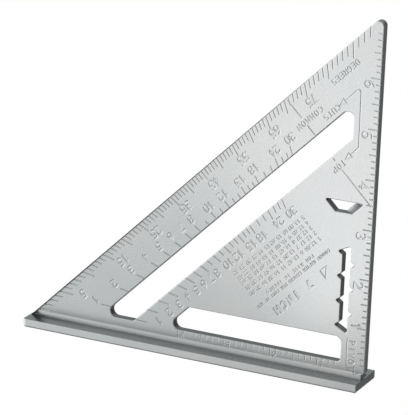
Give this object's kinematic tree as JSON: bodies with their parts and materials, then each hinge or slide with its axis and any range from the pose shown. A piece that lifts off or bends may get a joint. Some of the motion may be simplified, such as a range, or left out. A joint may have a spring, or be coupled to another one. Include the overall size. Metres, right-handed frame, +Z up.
{
  "type": "speed square",
  "caption": "Cast aluminium rafter square: a triangular blade with degree and inch scales, cut-outs and scribe notches, on a T-shaped fence that hooks over a board's edge.",
  "frame": {"origin": "middle of the fence's underside", "axes": "+X along the fence towards the pivot corner, +Y from the front face to the back face, +Z up the ruler edge"},
  "size_m": [0.1852, 0.0248, 0.1849],
  "materials": {
    "cast_aluminium": "satin"
  },
  "bodies": {
    "root": {"blade": "cast_aluminium", "fence": "cast_aluminium"}
  },
  "joints": []
}
